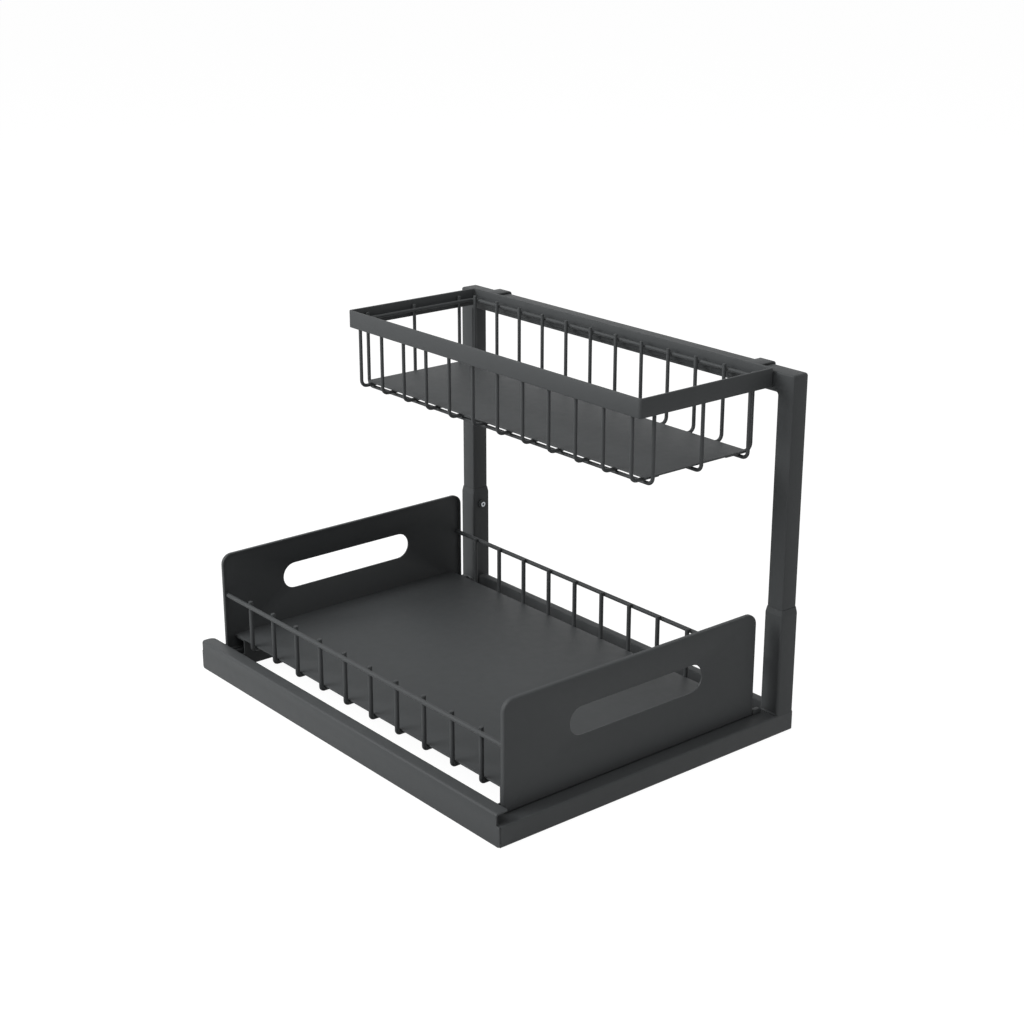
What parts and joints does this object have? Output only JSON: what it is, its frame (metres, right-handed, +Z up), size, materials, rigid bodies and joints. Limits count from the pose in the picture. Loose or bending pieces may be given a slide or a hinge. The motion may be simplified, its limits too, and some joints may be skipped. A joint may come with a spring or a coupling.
{
  "type": "pull out cabinet basket",
  "caption": "Pull out cabinet drawer on ball slides, with slotted side panels, wire guards and a finger rail, and a raised wire basket on a rear gate.",
  "frame": {"origin": "on the shelf, in the middle of the closed part's footprint", "axes": "+X to the right seen from the front, +Y to the rear of the cabinet, +Z up"},
  "size_m": [0.5346, 0.4008, 0.3932],
  "materials": {
    "anthracite_paint": "matte powder coat",
    "zinc_plated_steel": "zinc plated",
    "polished_ball_steel": "polished",
    "black_plastic": "moulded, fine grain"
  },
  "bodies": {
    "base": {"side_rail_left": "anthracite_paint", "side_rail_right": "anthracite_paint", "post_sleeve_left": "anthracite_paint", "post_sleeve_right": "anthracite_paint", "lock_boss_left": "anthracite_paint", "lock_boss_right": "anthracite_paint", "lock_screw_left": "zinc_plated_steel", "lock_screw_right": "zinc_plated_steel", "rear_stop_left": "anthracite_paint", "rear_stop_right": "anthracite_paint", "slide_outer_left": "zinc_plated_steel", "slide_outer_right": "zinc_plated_steel", "rear_crossbar": "anthracite_paint", "front_cross_strip": "anthracite_paint", "rear_cross_strip": "anthracite_paint", "rail_end_plugs": "black_plastic", "outer_slide_screws": "zinc_plated_steel"},
    "drawer": {"handle_rail": "anthracite_paint", "handle_bracket_left": "anthracite_paint", "handle_bracket_right": "anthracite_paint", "side_panel_left": "anthracite_paint", "side_panel_right": "anthracite_paint", "runner_bracket_left": "anthracite_paint", "runner_bracket_right": "anthracite_paint", "slide_inner_left": "zinc_plated_steel", "slide_inner_right": "zinc_plated_steel", "handle_screws": "zinc_plated_steel", "inner_slide_screws": "zinc_plated_steel", "drawer_floor": "anthracite_paint", "front_top_rod": "anthracite_paint", "rear_top_rod": "anthracite_paint", "drawer_front_wires": "anthracite_paint", "drawer_rear_wires": "anthracite_paint"},
    "gate": {"gate_post_left": "anthracite_paint", "gate_post_right": "anthracite_paint", "hook_strap_left": "anthracite_paint", "hook_strap_right": "anthracite_paint", "gate_top_bar": "anthracite_paint", "post_foot_plugs": "black_plastic", "upper_rim": "anthracite_paint", "upper_rim_rod": "anthracite_paint", "upper_front_wires": "anthracite_paint", "upper_rear_wires": "anthracite_paint", "upper_cross_wires": "anthracite_paint", "upper_floor_plate": "anthracite_paint"},
    "middle_slide_left": {"slide_middle_left": "zinc_plated_steel"},
    "outer_cage_left": {"outer_ball_cage_left": "zinc_plated_steel", "outer_balls_left": "polished_ball_steel"},
    "inner_cage_left": {"inner_ball_cage_left": "zinc_plated_steel", "inner_balls_left": "polished_ball_steel"},
    "middle_slide_right": {"slide_middle_right": "zinc_plated_steel"},
    "outer_cage_right": {"outer_ball_cage_right": "zinc_plated_steel", "outer_balls_right": "polished_ball_steel"},
    "inner_cage_right": {"inner_ball_cage_right": "zinc_plated_steel", "inner_balls_right": "polished_ball_steel"}
  },
  "joints": [
    {"name": "drawer_slide", "type": "slide", "parent": "base", "child": "drawer", "axis": [0, -1, 0], "range_m": [0, 0.3]},
    {"name": "gate_lift", "type": "slide", "parent": "base", "child": "gate", "axis": [0, 0, 1], "range_m": [0, 0.08]},
    {"name": "middle_slide_left_run", "type": "slide", "parent": "base", "child": "middle_slide_left", "axis": [0, -1, 0], "range_m": [0, 0.15]},
    {"name": "outer_cage_left_run", "type": "slide", "parent": "base", "child": "outer_cage_left", "axis": [0, -1, 0], "range_m": [0, 0.075]},
    {"name": "inner_cage_left_run", "type": "slide", "parent": "base", "child": "inner_cage_left", "axis": [0, -1, 0], "range_m": [0, 0.225]},
    {"name": "middle_slide_right_run", "type": "slide", "parent": "base", "child": "middle_slide_right", "axis": [0, -1, 0], "range_m": [0, 0.15]},
    {"name": "outer_cage_right_run", "type": "slide", "parent": "base", "child": "outer_cage_right", "axis": [0, -1, 0], "range_m": [0, 0.075]},
    {"name": "inner_cage_right_run", "type": "slide", "parent": "base", "child": "inner_cage_right", "axis": [0, -1, 0], "range_m": [0, 0.225]}
  ],
  "couplings": [
    {"joint": "middle_slide_left_run", "follows": "drawer_slide", "ratio": 0.5},
    {"joint": "outer_cage_left_run", "follows": "drawer_slide", "ratio": 0.25},
    {"joint": "inner_cage_left_run", "follows": "drawer_slide", "ratio": 0.75},
    {"joint": "middle_slide_right_run", "follows": "drawer_slide", "ratio": 0.5},
    {"joint": "outer_cage_right_run", "follows": "drawer_slide", "ratio": 0.25},
    {"joint": "inner_cage_right_run", "follows": "drawer_slide", "ratio": 0.75}
  ]
}
